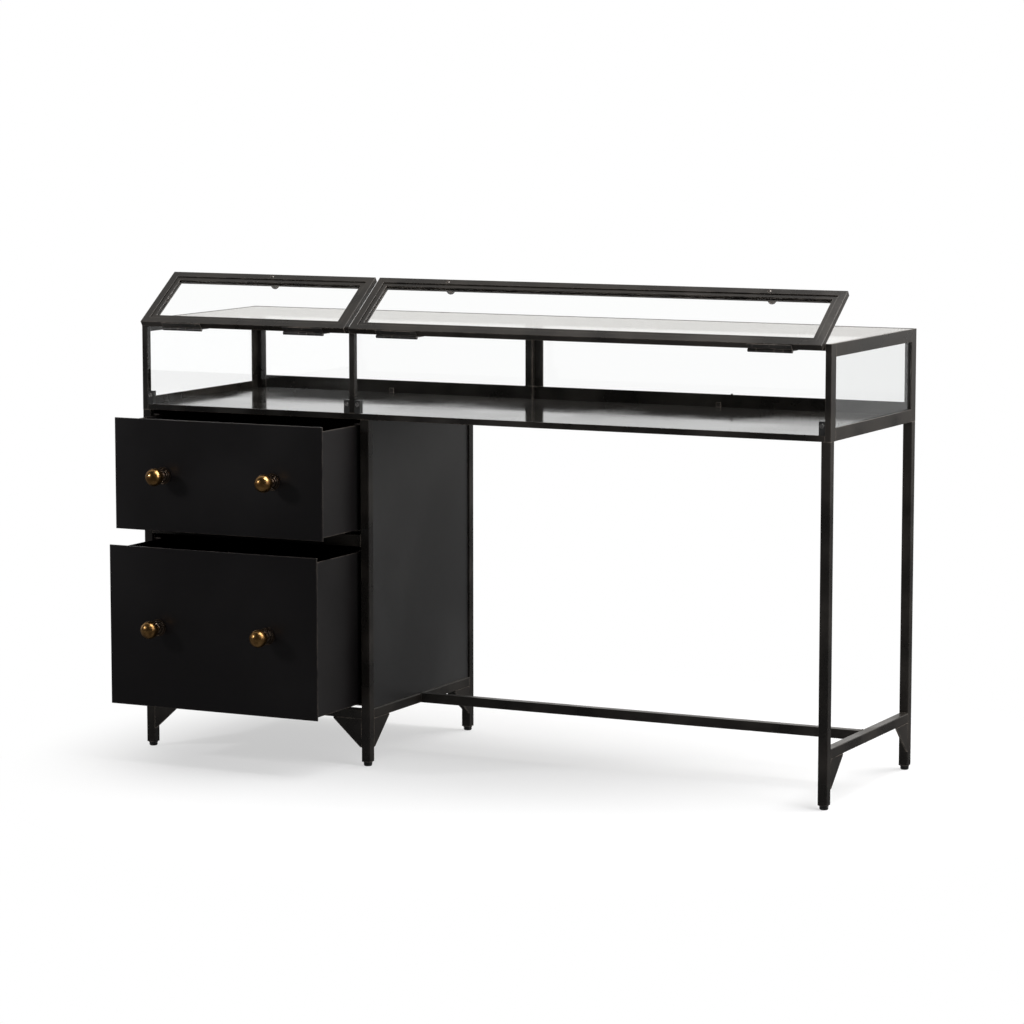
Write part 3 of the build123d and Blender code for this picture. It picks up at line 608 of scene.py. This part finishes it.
clear_glass = bpy.data.materials.new("clear glass")
clear_glass.use_nodes = True
tree = clear_glass.node_tree
pane = tree.nodes["Principled BSDF"]
pane.inputs["Base Color"].default_value = glass_tint
pane.inputs["Transmission Weight"].default_value = 1.0
pane.inputs["IOR"].default_value = glass_index
smears = noise_on(tree, wipe_scale, 4.0, stretch=(1, 2.5, 2.5))
wiped = ranged(tree, smears, *wipe_range, 0.0, wipe_roughness)
tree.links.new(wiped, pane.inputs["Roughness"])
let_through = tree.nodes.new("ShaderNodeBsdfTransparent")
let_through.inputs["Color"].default_value = glass_tint
rays = tree.nodes.new("ShaderNodeLightPath")
lamp_light = math_node(tree, "MAXIMUM", rays.outputs["Is Shadow Ray"], rays.outputs["Is Diffuse Ray"])
pane_or_light = tree.nodes.new("ShaderNodeMixShader")
tree.links.new(lamp_light, pane_or_light.inputs["Fac"])
tree.links.new(pane.outputs["BSDF"], pane_or_light.inputs[1])
tree.links.new(let_through.outputs["BSDF"], pane_or_light.inputs[2])
tree.links.new(pane_or_light.outputs["Shader"], tree.nodes["Material Output"].inputs["Surface"])
finish(clear_glass, "top_glass", "end_glass", "rear_glass", "left_flap_glass", "right_flap_glass")


# Catches: black moulded blocks screwed behind the bottom corners of both openings, each with
# a round nickel-plated magnet in its face.
catch_black = (0.012, 0.0115, 0.011, 1)
nickel_bright = (0.42, 0.41, 0.40, 1)
nickel_dull = (0.26, 0.25, 0.24, 1)
patina_detail, patina_range = 5.0, (0.36, 0.66)
rub_scale, rub_depth = 700.0, 0.00003

catch_plastic = moulded_plastic("catch plastic", catch_black, roughness=0.5, grain_depth=0.00004)
finish(catch_plastic, "catch_blocks")


def bare_metal(name, bright, dull, gloss, scale):
    """Bare or patinated metal. bright is rubbed, dull is what the rubbing has missed."""
    material = bpy.data.materials.new(name)
    material.use_nodes = True
    tree = material.node_tree
    shader = tree.nodes["Principled BSDF"]
    shader.inputs["Metallic"].default_value = 1.0
    patina = ranged(tree, noise_on(tree, scale, patina_detail), *patina_range)
    colour = tree.nodes.new("ShaderNodeMix")
    colour.data_type = "RGBA"
    colour.inputs["A"].default_value = bright
    colour.inputs["B"].default_value = dull
    tree.links.new(patina, colour.inputs["Factor"])
    tree.links.new(colour.outputs["Result"], shader.inputs["Base Color"])
    tree.links.new(ranged(tree, patina, 0.0, 1.0, *gloss), shader.inputs["Roughness"])
    marks = tree.nodes.new("ShaderNodeBump")
    marks.inputs["Distance"].default_value = rub_depth
    tree.links.new(noise_on(tree, rub_scale, 2.0), marks.inputs["Height"])
    tree.links.new(marks.outputs["Normal"], shader.inputs["Normal"])
    return material


magnet_nickel = bare_metal("magnet nickel", nickel_bright, nickel_dull, gloss=(0.22, 0.4), scale=300.0)
finish(magnet_nickel, "catch_magnets")


# Screws: slotted heads, turned and slit once, then copied to every place that needs one.
head_outline = [
    (0.0026, -0.0004),
    (0.0026, 0.0002),
    (0.0024, 0.0006),
    (0.0019, 0.0010),
    (0.0011, 0.0013),
    (0.0002, 0.0014),
]
slot_width = 0.0006
slot_depth = 0.0008
saw_length = 0.008
head_sides = 24
first_slot_turn, next_slot_turn = 0.9, 1.7
steel_bright = (0.30, 0.28, 0.26, 1)
steel_dull = (0.11, 0.10, 0.095, 1)

deselect_all()
screw_head = turned((0, 0, 0), (0, 0, 1), head_outline, head_sides)
bpy.ops.mesh.primitive_cube_add(size=1, location=(0, 0, head_outline[-1][1]))
slitting_saw = bpy.context.object
slitting_saw.scale = (saw_length, slot_width, 2 * slot_depth)
deselect_all()
slitting_saw.select_set(True)
bpy.context.view_layer.objects.active = slitting_saw
bpy.ops.object.transform_apply(scale=True, location=True)
deselect_all()
screw_head.select_set(True)
bpy.context.view_layer.objects.active = screw_head
slit = screw_head.modifiers.new("slit", "BOOLEAN")
slit.operation = "DIFFERENCE"
slit.object = slitting_saw
bpy.ops.object.modifier_apply(modifier=slit.name)
bpy.data.objects.remove(slitting_saw)
settled(screw_head, "screw_head")


def set_screws(name, places, facing, body, material, size=1.0):
    """Copies of the screw head, seated at places and facing one way, joined into one piece."""
    upright = Vector(facing).normalized().to_track_quat("Z", "Y")
    heads = []
    for count, place in enumerate(places):
        head = screw_head.copy()
        head.data = screw_head.data.copy()
        bpy.context.scene.collection.objects.link(head)
        turn_of_slot = Quaternion((0, 0, 1), first_slot_turn + next_slot_turn * count)
        head.rotation_mode = "QUATERNION"
        head.rotation_quaternion = upright @ turn_of_slot
        head.scale = (size, size, size)
        head.location = place
        heads.append(head)
    piece = settled(joined(heads), name)
    piece.data.materials.clear()
    piece.data.materials.append(material)
    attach(piece, body)
    return piece


screw_steel = bare_metal("screw steel", steel_bright, steel_dull, gloss=(0.28, 0.45), scale=260.0)


# Hinges: four steel butt hinges, lacquered with the frame. One leaf is screwed up under the
# case's top front rail and the other to the edge of the flap.
hinge_dark = (0.012, 0.0113, 0.0108, 1)
hinge_cloud = (0.026, 0.0235, 0.021, 1)
hinge_screw_size = 0.85
leaf_thickness = 0.0015
hinge_black = painted(
    "hinge steel", hinge_dark, hinge_cloud, cloud_size=30.0, gloss=(0.3, 0.5), skin_depth=0.00006,
    wear_and_highlight_cover=0.9,
)
finish(hinge_black, "hinge_fixed_leaves", "left_flap_hinge_leaves", "right_flap_hinge_leaves")
finish(screw_steel, "hinge_pins")

joints = {joint["name"]: joint for joint in frame["joints"]}
hinge_joint = joints["left_flap_hinge"]
pin = Vector((0, hinge_joint["pos_m"][1], hinge_joint["pos_m"][2]))
flap_lean = math.radians(-hinge_joint["range_deg"][0] - 180)
flap_up = Vector((0, math.sin(flap_lean), math.cos(flap_lean)))
flap_inward = Vector((0, -math.cos(flap_lean), math.sin(flap_lean)))

hinge_insets = {"left_flap": 0.095, "right_flap": 0.105}
leaf_half_gap = 0.0005
countersink = 0.0007
leaf_middle_depth = 0.0105
screw_spread = 0.034
fixed_leaf_reach = 0.019
leaf_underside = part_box("case_top_front_rail")[0].z - leaf_thickness
fixed_screws = []
for body, inset in hinge_insets.items():
    low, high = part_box(body + "_frame")
    flap_screws = []
    for middle in (low.x + inset, high.x - inset):
        for along in (-screw_spread, 0, screw_spread):
            seat = pin + flap_up * (leaf_half_gap + countersink) + flap_inward * leaf_middle_depth
            flap_screws.append(Vector((middle + along, seat.y, seat.z)))
            fixed_screws.append(Vector((middle + along, pin.y + fixed_leaf_reach, leaf_underside)))
    set_screws(
        body + "_hinge_screws", flap_screws, -flap_up, body, hinge_black, hinge_screw_size
    )
set_screws(
    "fixed_leaf_screws", fixed_screws, (0, 0, -1), "frame", hinge_black, hinge_screw_size
)


# Flaps: welded frames of rebated bar with mitred corners. The glass lies on the lip and is
# held by a bead. Small dark knobs stand on the outside of the free edge.
finish(frame_steel, "left_flap_frame", "right_flap_frame", "left_flap_bead", "right_flap_bead")
bronze_bright = (0.130, 0.096, 0.072, 1)
bronze_dull = (0.052, 0.040, 0.032, 1)
dark_bronze = bare_metal("dark bronze", bronze_bright, bronze_dull, gloss=(0.22, 0.38), scale=60.0)
flap_knob_outline = [
    (0.0058, 0.0000),
    (0.0062, 0.0006),
    (0.0060, 0.0014),
    (0.0044, 0.0018),
    (0.0040, 0.0026),
    (0.0041, 0.0036),
    (0.0052, 0.0040),
    (0.0052, 0.0046),
]
flap_knob_radius = 0.0088
flap_knob_reach = 0.0200
flap_ball_from_angle = 0.62
flap_knob_inset = 0.009
flap_knob_sides = 40
flap_edge_gap = 0.002
flap_height = 0.1635
knob_from_free_edge = 0.0075
flap_foot_depth = 0.0033
flap_head_depth = 0.0137
flap_head_size = 1.35
knob_run = flap_edge_gap + flap_height - knob_from_free_edge
pole_radius = 0.00004


def ball_outline(radius, reach, start_angle, steps):
    """The rings of a ball whose far pole is at reach, from an angle above its near pole."""
    rings = []
    for step in range(steps + 1):
        angle = start_angle + (math.pi - start_angle) * step / steps
        ring = max(radius * math.sin(angle), pole_radius)
        rings.append((ring, reach - radius - radius * math.cos(angle)))
    return rings


flap_outline = flap_knob_outline + ball_outline(
    flap_knob_radius, flap_knob_reach, flap_ball_from_angle, 16
)
for body in ("left_flap", "right_flap"):
    low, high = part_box(body + "_knobs")
    if body == "left_flap":
        knob_xs = [(low.x + high.x) / 2]
    else:
        knob_xs = [low.x + flap_knob_inset, high.x - flap_knob_inset]
    seat = pin + flap_up * knob_run + flap_inward * flap_foot_depth
    knobs = [
        turned(Vector((x, seat.y, seat.z)), -flap_inward, flap_outline, flap_knob_sides) for x in knob_xs
    ]
    piece = settled(joined(knobs), body + "_small_knobs")
    piece.data.materials.append(dark_bronze)
    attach(piece, body)
    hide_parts(body + "_knobs")
    seat = pin + flap_up * knob_run + flap_inward * flap_head_depth
    screws = set_screws(
        body + "_knob_screw_heads", [Vector((x, seat.y, seat.z)) for x in knob_xs],
        flap_inward, body, screw_steel, flap_head_size,
    )
    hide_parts(body + "_knob_screws")


# Drawers: flat fronts of smooth black sheet, with welded sheet boxes behind them. The fronts
# are the darkest and smoothest paint on the desk.
front_black = (0.0044, 0.0037, 0.0041, 1)
front_cloud = (0.0075, 0.0064, 0.0069, 1)
# painted shade: the box colours are set darker to stand for the shade the case casts on the upper box's
# side; both boxes share them
box_black = (0.0052, 0.0044, 0.0046, 1)
box_cloud = (0.0092, 0.0078, 0.0080, 1)

front_paint = painted(
    "drawer front", front_black, front_cloud, cloud_size=2.2, gloss=(0.30, 0.40), skin_depth=0.00002,
    wear_and_highlight_cover=0.6, sheen_level=0.27, wave=(2.4, 0.0012),
)
finish(front_paint, "upper_drawer_front", "lower_drawer_front")
box_paint = painted(
    "drawer box sheet", box_black, box_cloud, cloud_size=3.0, gloss=(0.34, 0.5), skin_depth=0.00004,
    wear_and_highlight_cover=0.6, sheen_level=0.28, wave=(3.4, 0.0016),
)
finish(box_paint, "upper_drawer_box", "lower_drawer_box", "drawer_runners", "drawer_kickers")
finish(screw_steel, "upper_drawer_screws", "lower_drawer_screws")


# Drawer knobs: brass balls turned with a collar and a waisted stem, on ringed backplates. The
# brass is burnished on the ball and dark with age on the stem and the backplate.
brass_bright = (0.45, 0.255, 0.095, 1)
brass_dull = (0.17, 0.090, 0.033, 1)
aged_brass = bare_metal("aged brass", brass_bright, brass_dull, gloss=(0.20, 0.36), scale=70.0)
knob_radius = 0.0180
knob_reach = 0.0480
stem_outline = [
    (0.0094, 0.0000),
    (0.0104, 0.0007),
    (0.0104, 0.0019),
    (0.0092, 0.0028),
    (0.0074, 0.0034),
    (0.0064, 0.0050),
    (0.0065, 0.0074),
    (0.0078, 0.0084),
    (0.0084, 0.0093),
    (0.0079, 0.0102),
    (0.0068, 0.0108),
    (0.0066, 0.0122),
]
collar_outline = [
    (0.0066, 0.0116),
    (0.0106, 0.0122),
    (0.0117, 0.0130),
    (0.0117, 0.0142),
    (0.0108, 0.0152),
    (0.0100, 0.0156),
]
backplate_outline = [
    (0.0168, 0.0000),
    (0.0175, 0.0005),
    (0.0175, 0.0019),
    (0.0167, 0.0026),
    (0.0155, 0.0024),
    (0.0149, 0.0018),
    (0.0142, 0.0018),
    (0.0136, 0.0028),
    (0.0124, 0.0035),
    (0.0114, 0.0033),
    (0.0109, 0.0030),
    (0.0104, 0.0037),
    (0.0092, 0.0040),
    (0.0030, 0.0040),
]
ball_from_angle = 0.64
brass_outline = collar_outline + ball_outline(knob_radius, knob_reach, ball_from_angle, 22)
outward = Vector((0, -1, 0))
for body in ("upper_drawer", "lower_drawer"):
    plate_low, plate_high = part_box(body + "_rosettes")
    face = plate_high.y
    foot_y = plate_low.y
    middle_z = (plate_low.z + plate_high.z) / 2
    half = (plate_high.z - plate_low.z) / 2
    knob_xs = (plate_low.x + half, plate_high.x - half)
    balls = [turned((x, foot_y, middle_z), outward, brass_outline, 56) for x in knob_xs]
    piece = settled(joined(balls), body + "_ball_knobs")
    piece.data.materials.append(aged_brass)
    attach(piece, body)
    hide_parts(body + "_knobs")
    stems = [turned((x, foot_y, middle_z), outward, stem_outline, 48) for x in knob_xs]
    piece = settled(joined(stems), body + "_knob_stems")
    piece.data.materials.append(dark_bronze)
    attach(piece, body)
    plates = [turned((x, face, middle_z), outward, backplate_outline, 64) for x in knob_xs]
    piece = settled(joined(plates), body + "_backplates")
    piece.data.materials.append(dark_bronze)
    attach(piece, body)
    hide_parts(body + "_rosettes")


# The template screw goes.
bpy.data.objects.remove(screw_head)
